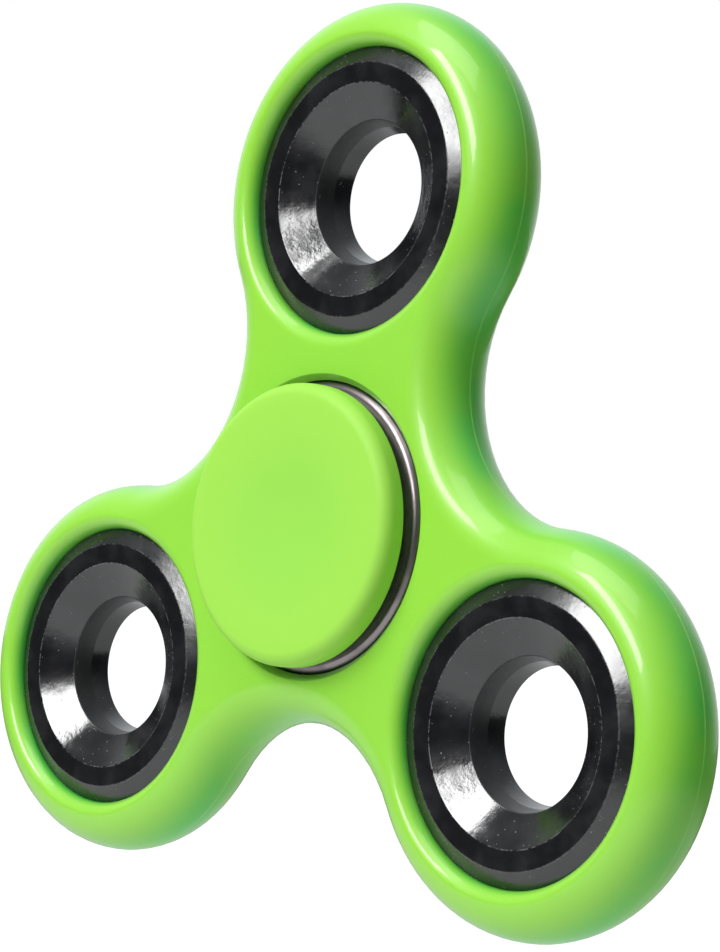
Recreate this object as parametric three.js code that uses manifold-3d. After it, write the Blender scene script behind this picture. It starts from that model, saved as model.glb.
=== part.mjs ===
// A three-armed fidget spinner, in millimetres.
// X runs to the right and Z up in the plane of the arms, and Y runs through the thickness: the front
// face looks towards -Y. The origin is the middle of the centre bearing, and everything turns about Y.
//
// A moulded frame carries one pressed-in steel ring weight in each of its three lobes and a 608-size
// ball bearing in its hub. Two finger caps press into the bearing's bore, one from each side.
import * as THREE from "three";
import { mergeVertices } from "three/addons/utils/BufferGeometryUtils.js";
import Module from "manifold-3d";

const wasm = await Module();
wasm.setup();

// ---- Driving dimensions ----

// Frame
const ARMS = 3;
const ARM_LENGTH = 25.4; // hub axis to lobe axis
const LOBE_RADIUS = 14.55;
const WAIST_RADIUS = 14.6; // hub axis to the nearest point of the edge between two arms
const FRAME_HALF = 3.7; // half the frame's thickness
const EDGE_ROUND = 3.2; // how far in from the edge its rounding starts
const PRESS_GAP = 0.02; // between pressed-together pieces
const LOBE_LIP = 1.15; // rounding of the hole's rim round each weight
const HUB_CHAMFER = 0.45; // chamfer of the hole's rim round the bearing

// Ring weights
const WEIGHT_RADIUS = 10.85;
const WEIGHT_HALF = 3.1;
const WEIGHT_BEVEL_RADIUS = 9.6; // the outer bevel starts here
const WEIGHT_BEVEL_DEPTH = 0.61;
const WEIGHT_CONE_RADIUS = 8.08; // the sloping mouth starts here
const WEIGHT_CONE_DEPTH = 1.55;
const WEIGHT_FRONT_THROAT = 5.5; // the bore's radius where the front mouth ends,
const WEIGHT_BORE_RADIUS = 5.2; // half way through,
const WEIGHT_REAR_THROAT = 4.95; // and where the rear mouth starts

// Centre bearing
const BEARING_RADIUS = 11;
const BEARING_HALF = 3.5;
const BEARING_BORE_RADIUS = 4;
const BEARING_CORNER = 0.7;
const BORE_CORNER = 0.27;
const INNER_RING_RADIUS = 6.05;
const OUTER_RING_SHOULDER = 8.95;
const BALLS = 7;
const BALL_RADIUS = 3.969 / 2;
const BALL_CIRCLE = 7.5; // radius of the circle that the ball centres lie on
const RACE_RADIUS = 2.06; // of the groove's cross-section
const RACE_GAP = 0.08; // between a ball and each groove, so that the facets clear as well
const SHIELD_SEAT_RADIUS = 9.65;
const SHIELD_SEAT = 2.6; // height of the step that the shield sits on
const SHIELD_SHEET = 0.25;
const SHIELD_FLANGE = 0.7; // width of the flange that sits in the outer ring
const SHIELD_SLOPE = 0.3; // width of the step between the flange and the disc
const SHIELD_STEP = 0.2; // how far the disc stands out from the flange
const SHIELD_BORE_RADIUS = 6.3;
const CLIP_GROOVE_RADIUS = 9.85;
const CLIP_HEIGHT = 2.96;
const CLIP_WIRE = 0.26;
const CLIP_BORE_RADIUS = 9.3;
const CLIP_OPENING = THREE.MathUtils.degToRad(24);

// Ball cage
const CAGE_SHEET = 0.4;
const CAGE_HALF_WIDTH = 1.05;
const POCKET_RADIUS = 2.15;
const RIVET_RADIUS = 0.34;
const RIVET_HEAD_RADIUS = 0.6;
const RIVET_HEAD_HEIGHT = 0.28;
const RIVET_CROWN = 0.75; // share of the head's radius and height where its crown starts

// Finger caps
const CAP_RADIUS = 10.55;
const CAP_UNDERSIDE = 4.45; // height of the cap's disc above the bearing's middle
const CAP_TOP = 6.4;
const CAP_RIM_ROUND = 1;
const CAP_DISH_RADIUS = 6.5; // flat floor of the finger dish
const CAP_DISH_DEPTH = 0.35;
const CAP_SHOULDER_RADIUS = 5.4; // the boss that keeps the cap off the turning ring
const CAP_STUB_END = 0.3;
const CAP_STUB_LEAD = 0.4; // chamfer at the end of the stub
const CAP_LOWER_ROUND = 0.15;

// Fineness
const ROUND_STEPS = 40; // facets round a large turned piece
const SMALL_STEPS = 10; // facets round a rivet
const LOBE_STEPS = 24; // facets along a lobe's edge
const WAIST_STEPS = 8; // facets along the hollow between two arms
const EDGE_STEPS = 6; // facets over the thickness of the frame
const RACE_STEPS = 4; // facets across a ball groove
const CORNER_STEPS = 2; // facets round a small corner
const LIP_STEPS = 3; // facets round the rim of a weight's hole
const BALL_DETAIL = 1;
const POCKET_STEPS = 12;

const THROUGH = 1; // how far a cutter runs past what it cuts

// ---- Materials ----

const finish = (color, roughness, metalness) =>
  new THREE.MeshStandardMaterial({ color, roughness, metalness });

const limePlastic = finish(0x86e63a, 0.28, 0);
const capPlastic = finish(0x9aee55, 0.45, 0);
const blackWeight = finish(0x17181a, 0.32, 0.6);
const bearingSteel = finish(0x8e8a90, 0.22, 1);
const ballSteel = finish(0xc9ccd0, 0.08, 1);
const cageSteel = finish(0xa8a59c, 0.4, 1);
const shieldSteel = finish(0x9b9da1, 0.3, 1);
const springSteel = finish(0x55565c, 0.35, 1);

// ---- Helpers ----

const point = (x, y) => new THREE.Vector2(x, y);

// Points of an arc about (x, y) from one angle to another, both ends included.
function arc(x, y, radius, from, to, steps) {
  return Array.from({ length: steps + 1 }, (_, i) => {
    const angle = from + ((to - from) * i) / steps;
    return point(x + radius * Math.cos(angle), y + radius * Math.sin(angle));
  });
}

// A closed ring turned about Y. Its cross-section is a loop of points (radius, height), which has to
// run anticlockwise for the faces to point out.
function turnedRing(loop, steps = ROUND_STEPS) {
  const outward = THREE.ShapeUtils.isClockWise(loop) ? loop.toReversed() : loop;
  return new THREE.LatheGeometry([...outward, outward[0]], steps);
}

// A loop that is the same above and below the middle, from the points of its upper half.
function mirrored(upper) {
  const lower = upper.map(({ x, y }) => point(x, -y)).reverse();
  return [...lower, ...upper];
}

// A closed geometry as a manifold-3d solid, and back.
function solid(geometry) {
  const bare = geometry.clone().deleteAttribute("normal").deleteAttribute("uv");
  const merged = mergeVertices(bare, 1e-5);
  return new wasm.Manifold(
    new wasm.Mesh({
      numProp: 3,
      vertProperties: merged.attributes.position.array,
      triVerts: new Uint32Array(merged.index.array),
    }),
  );
}

function geometryOf(made) {
  const mesh = made.getMesh();
  const geometry = new THREE.BufferGeometry();
  geometry.setAttribute(
    "position",
    new THREE.BufferAttribute(mesh.vertProperties, 3),
  );
  geometry.setIndex(new THREE.BufferAttribute(mesh.triVerts, 1));
  geometry.computeVertexNormals();
  return geometry;
}

// Angles round the Y axis are measured from +X towards +Z, in the plane of the arms.
const armAngle = (i) => Math.PI / 2 + (i * 2 * Math.PI) / ARMS;
const placeAt = (geometry, radius, angle) =>
  geometry
    .clone()
    .translate(radius * Math.cos(angle), 0, radius * Math.sin(angle));

// ---- Frame ----

// The edge between two arms is an arc that runs smoothly into both lobes. Its radius follows from
// the arm's length, the lobe and the waist.
const waistArcRadius =
  (WAIST_RADIUS ** 2 +
    ARM_LENGTH ** 2 -
    WAIST_RADIUS * ARM_LENGTH -
    LOBE_RADIUS ** 2) /
  (2 * LOBE_RADIUS - 2 * WAIST_RADIUS + ARM_LENGTH);
const waistArcCentre = WAIST_RADIUS + waistArcRadius;

// The frame's outline, moved in from its edge by the given distance.
function frameOutline(inset) {
  const outline = [];
  for (let i = 0; i < ARMS; i++) {
    const lobe = point(
      ARM_LENGTH * Math.cos(armAngle(i)),
      ARM_LENGTH * Math.sin(armAngle(i)),
    );
    const middle = armAngle(i) + Math.PI / ARMS;
    const waist = point(
      waistArcCentre * Math.cos(middle),
      waistArcCentre * Math.sin(middle),
    );
    const towardsWaist = Math.atan2(waist.y - lobe.y, waist.x - lobe.x);
    const halfLobe = THREE.MathUtils.euclideanModulo(
      towardsWaist - armAngle(i),
      2 * Math.PI,
    );
    const halfWaist = halfLobe - Math.PI / ARMS;
    outline.push(
      ...arc(
        lobe.x,
        lobe.y,
        LOBE_RADIUS - inset,
        armAngle(i) - halfLobe,
        armAngle(i) + halfLobe,
        LOBE_STEPS,
      ).slice(0, -1),
      ...arc(
        waist.x,
        waist.y,
        waistArcRadius + inset,
        middle + Math.PI + halfWaist,
        middle + Math.PI - halfWaist,
        WAIST_STEPS,
      ).slice(0, -1),
    );
  }
  return outline;
}

// The frame before its holes: outlines stacked through the thickness, with a fully rounded edge.
function frameBlank() {
  const levels = Array.from({ length: EDGE_STEPS + 1 }, (_, i) => {
    const angle = Math.PI * (i / EDGE_STEPS - 0.5);
    return {
      height: FRAME_HALF * Math.sin(angle),
      outline: frameOutline(EDGE_ROUND * (1 - Math.cos(angle))),
    };
  });
  const count = levels[0].outline.length;
  const vertices = levels.flatMap(({ height, outline }) =>
    outline.flatMap(({ x, y }) => [x, height, y]),
  );
  const faces = [];
  for (let level = 0; level < EDGE_STEPS; level++) {
    for (let i = 0; i < count; i++) {
      const a = level * count + i;
      const b = level * count + ((i + 1) % count);
      faces.push(a, a + count, b, b, a + count, b + count);
    }
  }
  const flat = THREE.ShapeUtils.triangulateShape(levels[0].outline, []);
  const top = EDGE_STEPS * count;
  for (const [a, b, c] of flat) {
    faces.push(a, b, c, top + a, top + c, top + b);
  }
  const geometry = new THREE.BufferGeometry();
  geometry.setAttribute(
    "position",
    new THREE.Float32BufferAttribute(vertices, 3),
  );
  geometry.setIndex(faces);
  return geometry;
}

// What leaves a round hole with an eased rim on both faces: a chamfer for one step, or a rounding
// for more.
function rimmedCutter(radius, rim, steps) {
  const easing = arc(
    radius + rim,
    FRAME_HALF - rim,
    rim,
    Math.PI,
    Math.PI / 2,
    steps,
  );
  const half = [
    ...easing,
    point(radius + rim, FRAME_HALF + THROUGH),
    point(0, FRAME_HALF + THROUGH),
  ];
  return solid(new THREE.LatheGeometry(mirrored(half), ROUND_STEPS));
}

function frame() {
  const weightHole = rimmedCutter(
    WEIGHT_RADIUS + PRESS_GAP,
    LOBE_LIP,
    LIP_STEPS,
  );
  let body = solid(frameBlank()).subtract(
    rimmedCutter(BEARING_RADIUS + PRESS_GAP, HUB_CHAMFER, 1),
  );
  for (let i = 0; i < ARMS; i++) {
    const x = ARM_LENGTH * Math.cos(armAngle(i));
    const z = ARM_LENGTH * Math.sin(armAngle(i));
    body = body.subtract(weightHole.translate(x, 0, z));
  }
  return geometryOf(body);
}

// ---- Ring weights ----

// Both faces have an outer bevel, a flat and a conical mouth. The bore between the mouths tapers
// from front to rear.
function ringWeight() {
  const face = [
    point(WEIGHT_CONE_RADIUS, WEIGHT_HALF),
    point(WEIGHT_BEVEL_RADIUS, WEIGHT_HALF),
    point(WEIGHT_RADIUS, WEIGHT_HALF - WEIGHT_BEVEL_DEPTH),
  ];
  const throatHeight = WEIGHT_HALF - WEIGHT_CONE_DEPTH;
  return turnedRing([
    point(WEIGHT_FRONT_THROAT, -throatHeight),
    point(WEIGHT_BORE_RADIUS, 0),
    point(WEIGHT_REAR_THROAT, throatHeight),
    ...face,
    ...face.map(({ x, y }) => point(x, -y)).reverse(),
  ]);
}

// ---- Centre bearing ----

// The ball groove in a ring, as points from below to above. The groove's cross-section is an arc
// about the given radius; it ends where the ring's shoulder cuts it.
function groove(centre, shoulder) {
  const outward = Math.sign(shoulder - centre);
  const half = Math.acos(Math.abs(shoulder - centre) / RACE_RADIUS);
  return arc(centre, 0, RACE_RADIUS, -half, half, RACE_STEPS).map(({ x, y }) =>
    outward > 0 ? point(x, y) : point(2 * centre - x, y),
  );
}

function outerRing() {
  const centre = BALL_CIRCLE + BALL_RADIUS + RACE_GAP - RACE_RADIUS;
  const upper = [
    point(OUTER_RING_SHOULDER, SHIELD_SEAT),
    point(SHIELD_SEAT_RADIUS, SHIELD_SEAT),
    point(SHIELD_SEAT_RADIUS, CLIP_HEIGHT),
    point(CLIP_GROOVE_RADIUS, CLIP_HEIGHT),
    point(CLIP_GROOVE_RADIUS, CLIP_HEIGHT + CLIP_WIRE + 2 * PRESS_GAP),
    point(SHIELD_SEAT_RADIUS, CLIP_HEIGHT + CLIP_WIRE + 2 * PRESS_GAP),
    point(SHIELD_SEAT_RADIUS, BEARING_HALF),
    ...arc(
      BEARING_RADIUS - BEARING_CORNER,
      BEARING_HALF - BEARING_CORNER,
      BEARING_CORNER,
      Math.PI / 2,
      0,
      CORNER_STEPS,
    ),
  ];
  const lower = upper.map(({ x, y }) => point(x, -y)).reverse();
  return turnedRing([
    ...groove(centre, OUTER_RING_SHOULDER),
    ...upper,
    ...lower,
  ]);
}

function innerRing() {
  const centre = BALL_CIRCLE - BALL_RADIUS - RACE_GAP + RACE_RADIUS;
  const upper = [
    point(INNER_RING_RADIUS, BEARING_HALF - BORE_CORNER / 2),
    point(INNER_RING_RADIUS - BORE_CORNER / 2, BEARING_HALF),
    ...arc(
      BEARING_BORE_RADIUS + BORE_CORNER,
      BEARING_HALF - BORE_CORNER,
      BORE_CORNER,
      Math.PI / 2,
      Math.PI,
      CORNER_STEPS,
    ),
  ];
  const lower = upper.map(({ x, y }) => point(x, -y)).reverse();
  return turnedRing([
    ...groove(centre, INNER_RING_RADIUS),
    ...upper,
    ...lower,
  ]);
}

// A pressed disc with a step: its outer flange sits in the ring, and its middle stands a little proud.
function shield() {
  const flangeBore = SHIELD_SEAT_RADIUS - SHIELD_FLANGE;
  const discRadius = flangeBore - SHIELD_SLOPE;
  const under = SHIELD_SEAT + PRESS_GAP;
  const over = under + SHIELD_SHEET;
  return turnedRing([
    point(SHIELD_SEAT_RADIUS - PRESS_GAP, under),
    point(SHIELD_SEAT_RADIUS - PRESS_GAP, over),
    point(flangeBore, over),
    point(discRadius, over + SHIELD_STEP),
    point(SHIELD_BORE_RADIUS, over + SHIELD_STEP),
    point(SHIELD_BORE_RADIUS, under + SHIELD_STEP),
    point(discRadius, under + SHIELD_STEP),
    point(flangeBore, under),
  ]);
}

// A spring wire ring with a gap, which snaps into the groove over the shield.
function shieldClip() {
  const from = Math.PI / 2 + CLIP_OPENING / 2;
  const to = from + 2 * Math.PI - CLIP_OPENING;
  const shape = new THREE.Shape([
    ...arc(0, 0, CLIP_GROOVE_RADIUS - PRESS_GAP, from, to, ROUND_STEPS),
    ...arc(0, 0, CLIP_BORE_RADIUS, to, from, ROUND_STEPS),
  ]);
  return new THREE.ExtrudeGeometry(shape, {
    depth: CLIP_WIRE,
    bevelEnabled: false,
  })
    .rotateX(-Math.PI / 2)
    .translate(0, CLIP_HEIGHT + PRESS_GAP, 0);
}

const ballAngle = (i) => Math.PI / 2 + (i * 2 * Math.PI) / BALLS;
const rivetAngle = (i) => ballAngle(i + 0.5);

const ball = () => new THREE.IcosahedronGeometry(BALL_RADIUS, BALL_DETAIL);

// Half of the cage: a flat pressed ring that bulges over each ball.
function cageHalf() {
  const inner = BALL_CIRCLE - CAGE_HALF_WIDTH;
  const outer = BALL_CIRCLE + CAGE_HALF_WIDTH;
  const bulgeRadius = POCKET_RADIUS + CAGE_SHEET;
  const slab = (bore, radius, height) =>
    solid(
      turnedRing([
        point(bore, PRESS_GAP),
        point(radius, PRESS_GAP),
        point(radius, PRESS_GAP + height),
        point(bore, PRESS_GAP + height),
      ]),
    );
  const bulge = new THREE.SphereGeometry(
    bulgeRadius,
    POCKET_STEPS,
    POCKET_STEPS / 2,
  );
  const pocket = new THREE.SphereGeometry(
    POCKET_RADIUS,
    POCKET_STEPS,
    POCKET_STEPS / 2,
  );
  const rivetHole = new THREE.CylinderGeometry(
    RIVET_RADIUS + PRESS_GAP,
    RIVET_RADIUS + PRESS_GAP,
    2 * CAGE_SHEET + THROUGH,
    SMALL_STEPS,
  );
  let cage = slab(inner, outer, CAGE_SHEET);
  for (let i = 0; i < BALLS; i++) {
    cage = cage.add(solid(placeAt(bulge, BALL_CIRCLE, ballAngle(i))));
  }
  cage = cage.intersect(slab(inner, outer, bulgeRadius));
  for (let i = 0; i < BALLS; i++) {
    cage = cage
      .subtract(solid(placeAt(pocket, BALL_CIRCLE, ballAngle(i))))
      .subtract(solid(placeAt(rivetHole, BALL_CIRCLE, rivetAngle(i))));
  }
  return geometryOf(cage);
}

// A plain shank with a low domed head at each end.
function cageRivet() {
  const land = CAGE_SHEET + 2 * PRESS_GAP;
  const upper = [
    point(RIVET_RADIUS, land),
    point(RIVET_HEAD_RADIUS, land),
    point(
      RIVET_HEAD_RADIUS * RIVET_CROWN,
      land + RIVET_HEAD_HEIGHT * RIVET_CROWN,
    ),
    point(0, land + RIVET_HEAD_HEIGHT),
  ];
  return new THREE.LatheGeometry(mirrored(upper), SMALL_STEPS);
}

// ---- Finger caps ----

// A disc with a dished face and a rounded rim, a boss that rests on the inner ring, and a stub that
// presses into its bore.
function fingerCap() {
  const rimCrest = CAP_RADIUS - CAP_RIM_ROUND;
  const dishEdge = (CAP_DISH_RADIUS + rimCrest) / 2;
  const stubRadius = BEARING_BORE_RADIUS - PRESS_GAP;
  const boss = BEARING_HALF + PRESS_GAP;
  return new THREE.LatheGeometry(
    [
      point(0, CAP_STUB_END),
      point(stubRadius - CAP_STUB_LEAD, CAP_STUB_END),
      point(stubRadius, CAP_STUB_END + CAP_STUB_LEAD),
      point(stubRadius, boss),
      point(CAP_SHOULDER_RADIUS, boss),
      point(CAP_SHOULDER_RADIUS, CAP_UNDERSIDE),
      point(CAP_RADIUS - CAP_LOWER_ROUND, CAP_UNDERSIDE),
      point(CAP_RADIUS, CAP_UNDERSIDE + CAP_LOWER_ROUND),
      ...arc(
        rimCrest,
        CAP_TOP - CAP_RIM_ROUND,
        CAP_RIM_ROUND,
        0,
        Math.PI / 2,
        CORNER_STEPS + 1,
      ),
      point(dishEdge, CAP_TOP - CAP_DISH_DEPTH / 2),
      point(CAP_DISH_RADIUS, CAP_TOP - CAP_DISH_DEPTH),
      point(0, CAP_TOP - CAP_DISH_DEPTH),
    ],
    ROUND_STEPS,
  );
}

// ---- Assembly ----

const spinner = new THREE.Group();

function addPiece(name, geometry, material, parent = spinner) {
  const piece = new THREE.Mesh(geometry, material);
  piece.name = name;
  parent.add(piece);
  return piece;
}

addPiece("body_frame", frame(), limePlastic);

const armNames = ["top", "left", "right"];
const weightGeometry = ringWeight();
armNames.forEach((name, i) => {
  const weight = addPiece("counterweight_" + name, weightGeometry, blackWeight);
  weight.position.set(
    ARM_LENGTH * Math.cos(armAngle(i)),
    0,
    ARM_LENGTH * Math.sin(armAngle(i)),
  );
});

addPiece("bearing_outer_ring", outerRing(), bearingSteel);
addPiece("bearing_inner_ring", innerRing(), bearingSteel);

const ballGeometry = ball();
const rivetGeometry = cageRivet();
for (let i = 0; i < BALLS; i++) {
  addPiece(
    "bearing_ball_" + (i + 1),
    placeAt(ballGeometry, BALL_CIRCLE, ballAngle(i)),
    ballSteel,
  );
  addPiece(
    "cage_rivet_" + (i + 1),
    placeAt(rivetGeometry, BALL_CIRCLE, rivetAngle(i)),
    cageSteel,
  );
}

// The pieces that come in pairs are alike. The rear ones are made where they belong, and the front
// ones are the same turned half round.
const rear = new THREE.Group();
const front = new THREE.Group();
front.rotation.z = Math.PI;
spinner.add(rear, front);

const pairs = [
  ["bearing_cage", cageHalf(), cageSteel],
  ["bearing_shield", shield(), shieldSteel],
  ["shield_clip", shieldClip(), springSteel],
  ["finger_cap", fingerCap(), capPlastic],
];
for (const [name, geometry, material] of pairs) {
  addPiece(name + "_front", geometry, material, front);
  addPiece(name + "_rear", geometry, material, rear);
}

export default spinner;
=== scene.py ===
"""A three-armed fidget spinner: a lime frame, three black ring weights, a ball bearing and two caps."""

import math

import bpy
from mathutils import Matrix, Vector


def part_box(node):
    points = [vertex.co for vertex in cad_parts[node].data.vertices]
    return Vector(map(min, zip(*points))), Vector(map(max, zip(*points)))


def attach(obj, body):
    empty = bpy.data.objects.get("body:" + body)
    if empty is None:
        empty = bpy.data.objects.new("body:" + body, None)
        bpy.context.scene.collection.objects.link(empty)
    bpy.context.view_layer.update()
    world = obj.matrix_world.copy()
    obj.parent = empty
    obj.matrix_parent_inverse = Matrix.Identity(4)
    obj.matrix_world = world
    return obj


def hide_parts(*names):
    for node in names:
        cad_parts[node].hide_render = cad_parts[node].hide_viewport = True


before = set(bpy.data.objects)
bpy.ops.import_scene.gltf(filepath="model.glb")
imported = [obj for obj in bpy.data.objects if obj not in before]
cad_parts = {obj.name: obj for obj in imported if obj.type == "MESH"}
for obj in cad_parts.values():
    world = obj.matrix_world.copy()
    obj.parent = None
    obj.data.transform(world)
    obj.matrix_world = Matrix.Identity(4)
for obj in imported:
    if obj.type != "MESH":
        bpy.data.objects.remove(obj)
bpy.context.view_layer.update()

# ---- Sizes, in metres; the spinner's axis is Y, and angles round it run from +X towards +Z ----

MM = 0.001
HALF_TURN = math.pi
FULL_TURN = 2 * math.pi

ARMS = ("top", "left", "right")
ARM_LENGTH = sum(corner.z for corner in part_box("counterweight_top")) / 2
LOBE_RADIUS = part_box("body_frame")[1].z - ARM_LENGTH
FRAME_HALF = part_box("body_frame")[1].y
WAIST_RADIUS = 14.6 * MM
EDGE_ROUND = 3.2 * MM
LOBE_LIP = 1.15 * MM
HUB_CHAMFER = 0.45 * MM
HUB_EDGE_ROUND = 0.12 * MM
PRESS_GAP = 0.02 * MM
PARTING_WIDTH = 0.13 * MM
PARTING_HEIGHT = 0.02 * MM

WEIGHT_RADIUS = (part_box("counterweight_top")[1].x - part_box("counterweight_top")[0].x) / 2
WEIGHT_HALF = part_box("counterweight_top")[1].y
WEIGHT_BEVEL_RADIUS = 9.6 * MM
WEIGHT_BEVEL_DEPTH = 0.61 * MM
WEIGHT_CONE_RADIUS = 8.08 * MM
WEIGHT_CONE_DEPTH = 1.55 * MM
WEIGHT_FRONT_THROAT = 5.5 * MM
WEIGHT_BORE_RADIUS = 5.2 * MM
WEIGHT_REAR_THROAT = 4.95 * MM
WEIGHT_EDGE_ROUND = 0.06 * MM

BEARING_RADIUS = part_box("bearing_outer_ring")[1].x
BEARING_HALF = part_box("bearing_outer_ring")[1].y
BEARING_CORNER = 0.7 * MM
BORE_RADIUS = 4.0 * MM
BORE_CORNER = 0.27 * MM
OUTER_SHOULDER = 8.95 * MM
INNER_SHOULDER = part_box("bearing_inner_ring")[1].x
RING_EDGE_ROUND = 0.05 * MM

BALLS = 7
BALL_RADIUS = 1.9845 * MM
BALL_CIRCLE = 7.5 * MM
RACE_RADIUS = 2.06 * MM
RACE_GAP = 0.08 * MM

SHIELD_SEAT_RADIUS = 9.65 * MM
SHIELD_SEAT = 2.6 * MM
SHIELD_UNDER, SHIELD_TOP = (corner.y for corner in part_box("bearing_shield_rear"))
SHIELD_SHEET = 0.25 * MM
SHIELD_FLANGE_BORE = 8.95 * MM
SHIELD_DISC_RADIUS = 8.65 * MM
SHIELD_BORE_RADIUS = 6.3 * MM
SHEET_EDGE_ROUND = 0.04 * MM

CLIP_UNDER, CLIP_TOP = (corner.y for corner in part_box("shield_clip_rear"))
CLIP_GROOVE_RADIUS = 9.85 * MM
CLIP_RADIUS = 9.83 * MM
CLIP_BORE_RADIUS = 9.3 * MM
CLIP_OPENING = math.radians(24)

CAGE_SHEET = 0.4 * MM
CAGE_HALF_WIDTH = 1.05 * MM
POCKET_RADIUS = 2.15 * MM
RIVET_RADIUS = 0.34 * MM
RIVET_HEAD_RADIUS = 0.6 * MM
RIVET_HEAD_HEIGHT = 0.28 * MM
RIVET_CROWN = ((0.92, 0.45), (0.7, 0.8), (0.3, 1))  # shares of the head's radius and height

CAP_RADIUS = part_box("finger_cap_rear")[1].x
CAP_STUB_END, CAP_TOP = (corner.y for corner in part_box("finger_cap_rear"))
CAP_UNDERSIDE = 4.45 * MM
CAP_RIM_ROUND = 1.0 * MM
CAP_DISH_DEPTH = 0.35 * MM
CAP_SHOULDER_RADIUS = 5.4 * MM
CAP_STUB_RADIUS = 3.98 * MM
CAP_STUB_LEAD = 0.4 * MM
CAP_EDGE_ROUND = 0.12 * MM

# How finely each shape is stepped.
ROUND_STEPS = 128
SMALL_STEPS = 20
WALL_STEPS = 28
LOBE_STEPS = 64
WAIST_STEPS = 20
CORNER_STEPS = 8
RACE_STEPS = 12
DISH_STEPS = 14
WIRE_STEPS = 12
POCKET_STEPS = 24
EDGE_SEGMENTS = 3
BALL_LEVELS = 4
SMOOTH_ANGLE = math.radians(32)
TINY = 1e-6

# ---- Modelling helpers ----


def select_nothing():
    if bpy.context.mode != "OBJECT":
        bpy.ops.object.mode_set(mode="OBJECT")
    bpy.ops.object.select_all(action="DESELECT")


def make_active(piece):
    select_nothing()
    piece.select_set(True)
    bpy.context.view_layer.objects.active = piece


def select_vertices(piece, wanted):
    """Goes to edit mode with only the wanted vertices selected."""
    bpy.ops.object.mode_set(mode="EDIT")
    bpy.ops.mesh.select_mode(type="VERT")
    bpy.ops.mesh.select_all(action="DESELECT")
    bpy.ops.object.mode_set(mode="OBJECT")
    for vertex in piece.data.vertices:
        vertex.select = wanted(vertex.co)
    bpy.ops.object.mode_set(mode="EDIT")


def place(piece, location=(0, 0, 0), turn=(0, 0, 0)):
    """Moves a piece by putting its place in its mesh."""
    make_active(piece)
    piece.location = location
    piece.rotation_euler = turn
    bpy.ops.object.transform_apply(location=True, rotation=True, scale=True)


def copy_of(piece, name):
    make_active(piece)
    bpy.ops.object.duplicate(linked=False)
    twin = bpy.context.active_object
    twin.name = name
    return twin


def arc(centre_radius, centre_height, radius, start, end, steps):
    """Points (radius, height) along an arc in a cross-section."""
    angles = [start + (end - start) * step / steps for step in range(steps + 1)]
    return [
        (centre_radius + radius * math.cos(a), centre_height + radius * math.sin(a))
        for a in angles
    ]


def mirrored(upper):
    """A whole cross-section from its upper half, which runs away from the middle."""
    return [(radius, -height) for radius, height in reversed(upper)] + upper


def turned(name, outline, steps=ROUND_STEPS, ring=True):
    """A piece turned about Y: a circle drawn out from point to point of its outline, (radius, height).
    A ring's outline closes on itself; a disc's two ends are filled."""
    select_nothing()
    radius, height = outline[0]
    bpy.ops.mesh.primitive_circle_add(
        vertices=steps, radius=radius, location=(0, height, 0), rotation=(HALF_TURN / 2, 0, 0)
    )
    piece = bpy.context.active_object
    piece.name = name
    bpy.ops.object.transform_apply(location=True, rotation=True, scale=True)
    bpy.ops.object.mode_set(mode="EDIT")
    bpy.ops.mesh.select_all(action="SELECT")
    if not ring:
        bpy.ops.mesh.edge_face_add()
    for next_radius, next_height in outline[1:] + outline[: 1 if ring else 0]:
        bpy.ops.mesh.extrude_region_move(
            TRANSFORM_OT_translate={"value": (0, next_height - height, 0)}
        )
        grow = next_radius / radius
        bpy.ops.transform.resize(value=(grow, 1, grow), center_override=(0, 0, 0))
        radius, height = next_radius, next_height
    bpy.ops.mesh.select_all(action="SELECT")
    bpy.ops.mesh.remove_doubles(threshold=TINY)
    bpy.ops.mesh.normals_make_consistent(inside=False)
    bpy.ops.object.mode_set(mode="OBJECT")
    return piece


def apply_modifier(piece, kind, **settings):
    make_active(piece)
    modifier = piece.modifiers.new(kind.lower(), kind)
    for name, value in settings.items():
        setattr(modifier, name, value)
    bpy.ops.object.modifier_apply(modifier=modifier.name)


def round_edges(piece, width, sharper_than):
    apply_modifier(
        piece,
        "BEVEL",
        width=width,
        segments=EDGE_SEGMENTS,
        limit_method="ANGLE",
        angle_limit=math.radians(sharper_than),
        use_clamp_overlap=True,
    )


def combine(piece, tool, operation):
    """Cuts, joins or trims a piece with a tool, which is thrown away."""
    apply_modifier(piece, "BOOLEAN", operation=operation, solver="EXACT", object=tool)
    bpy.data.objects.remove(tool)


def smooth(piece):
    make_active(piece)
    bpy.ops.object.shade_smooth_by_angle(angle=SMOOTH_ANGLE)
    apply_modifier(piece, "WEIGHTED_NORMAL", keep_sharp=True)


def hand_over(piece, body, node, material):
    """Gives a finished piece its material and its body, and hides the CAD node that it stands for."""
    piece.data.materials.clear()
    piece.data.materials.append(material)
    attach(piece, body)
    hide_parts(node)


def arm_angle(index):
    return HALF_TURN / 2 + index * FULL_TURN / len(ARMS)


def ball_angle(index):
    return HALF_TURN / 2 + index * FULL_TURN / BALLS


def at(radius, angle):
    return Vector((radius * math.cos(angle), 0, radius * math.sin(angle)))


# ---- Node helpers ----


def link_or_set(tree, socket, value):
    if isinstance(value, bpy.types.NodeSocket):
        tree.links.new(value, socket)
    else:
        socket.default_value = value


def add_node(tree, kind, inputs, **settings):
    node = tree.nodes.new("ShaderNode" + kind)
    for name, value in settings.items():
        setattr(node, name, value)
    for name, value in inputs.items():
        link_or_set(tree, node.inputs[name], value)
    return node


def calculate(tree, operation, *values, clamp=False):
    node = tree.nodes.new("ShaderNodeMath")
    node.operation = operation
    node.use_clamp = clamp
    for socket, value in zip(node.inputs, values):
        link_or_set(tree, socket, value)
    return node.outputs["Value"]


def fade(tree, value, low, high):
    """0 below low, 1 above high, and smooth between; it runs the other way where low is the larger."""
    node = add_node(
        tree,
        "MapRange",
        {"Value": value, "From Min": low, "From Max": high},
        interpolation_type="SMOOTHSTEP",
    )
    return node.outputs["Result"]


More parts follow.
